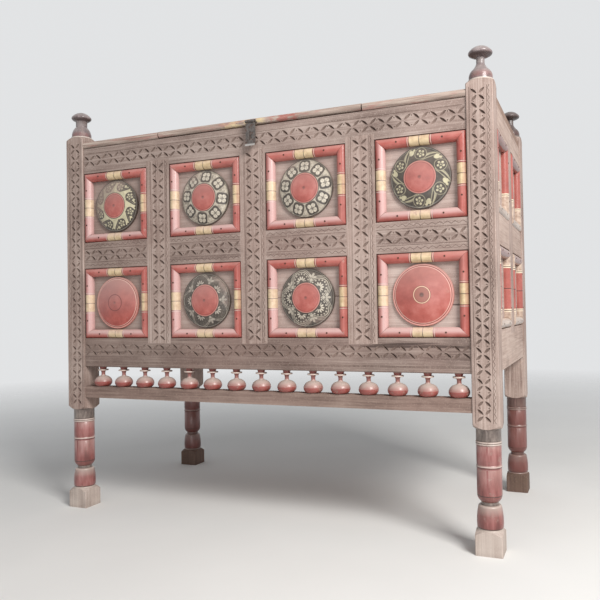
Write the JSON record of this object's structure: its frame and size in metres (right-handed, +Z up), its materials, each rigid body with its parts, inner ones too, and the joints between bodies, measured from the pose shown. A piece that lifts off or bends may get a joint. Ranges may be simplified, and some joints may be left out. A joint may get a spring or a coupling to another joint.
{
  "type": "dowry chest",
  "caption": "Carved wooden chest on four turned legs, with framed panels and turned discs, a spindle row under the front rail, a hinged trap lid and an iron hasp.",
  "frame": {"origin": "on the floor under the middle of the whole envelope, hasp included", "axes": "+X to the right along the front, +Y from the front to the back, +Z up"},
  "size_m": [1.5212, 0.7818, 1.429],
  "materials": {
    "carved_wood": "weathered, chip carved",
    "plain_wood": "sawn boards, dry and worn",
    "red_lacquer": "worn stick lacquer, red with cream bands",
    "painted_lacquer": "dark lacquer ring with cream scratched pattern and red middle",
    "iron": "forged, dull"
  },
  "bodies": {
    "chest": {"back_boards": "plain_wood", "back_bottom_rail": "carved_wood", "back_top_rail": "carved_wood", "cap_strips_fixed": "red_lacquer", "floor_boards": "plain_wood", "front_bottom_rail": "carved_wood", "front_disc_lower_1": "red_lacquer", "front_disc_lower_2": "painted_lacquer", "front_disc_lower_3": "painted_lacquer", "front_disc_lower_4": "red_lacquer", "front_disc_upper_1": "painted_lacquer", "front_disc_upper_2": "painted_lacquer", "front_disc_upper_3": "painted_lacquer", "front_disc_upper_4": "painted_lacquer", "front_fields_lower": "carved_wood", "front_fields_upper": "carved_wood", "front_mid_rails": "carved_wood", "front_moulding_lower_1": "red_lacquer", "front_moulding_lower_2": "red_lacquer", "front_moulding_lower_3": "red_lacquer", "front_moulding_lower_4": "red_lacquer", "front_moulding_upper_1": "red_lacquer", "front_moulding_upper_2": "red_lacquer", "front_moulding_upper_3": "red_lacquer", "front_moulding_upper_4": "red_lacquer", "front_stile_centre": "carved_wood", "front_stile_left": "carved_wood", "front_stile_right": "carved_wood", "front_stretcher": "carved_wood", "front_top_rail": "carved_wood", "hasp_staple": "iron", "left_bottom_rail": "carved_wood", "left_fields": "carved_wood", "left_mid_rails": "carved_wood", "left_mouldings": "red_lacquer", "left_stile": "carved_wood", "left_top_rail": "carved_wood", "moulding_nails": "iron", "post_back_left": "carved_wood", "post_back_right": "carved_wood", "post_front_left": "carved_wood", "post_front_right": "carved_wood", "right_bottom_rail": "carved_wood", "right_fields": "carved_wood", "right_mid_rails": "carved_wood", "right_mouldings": "red_lacquer", "right_stile": "carved_wood", "right_top_rail": "carved_wood", "spindle_row": "red_lacquer", "top_bearers": "plain_wood", "top_boards_ends": "plain_wood", "top_boards_rear": "plain_wood"},
    "lid": {"lid_boards": "plain_wood", "lid_battens": "plain_wood", "lid_cap_strip": "red_lacquer", "lid_pivot_pins": "iron", "hasp_eyes": "iron", "hasp_pin": "iron"},
    "hasp": {"hasp": "iron"}
  },
  "joints": [
    {"name": "lid_hinge", "type": "hinge", "parent": "chest", "child": "lid", "pos_m": [0.007, 0.04885, 1.29215], "axis": [-1, 0, 0], "range_deg": [0, 95]},
    {"name": "hasp_swing", "type": "hinge", "parent": "lid", "child": "hasp", "pos_m": [0.007, -0.38215, 1.29], "axis": [-1, 0, 0], "range_deg": [-14.5, 160]}
  ]
}
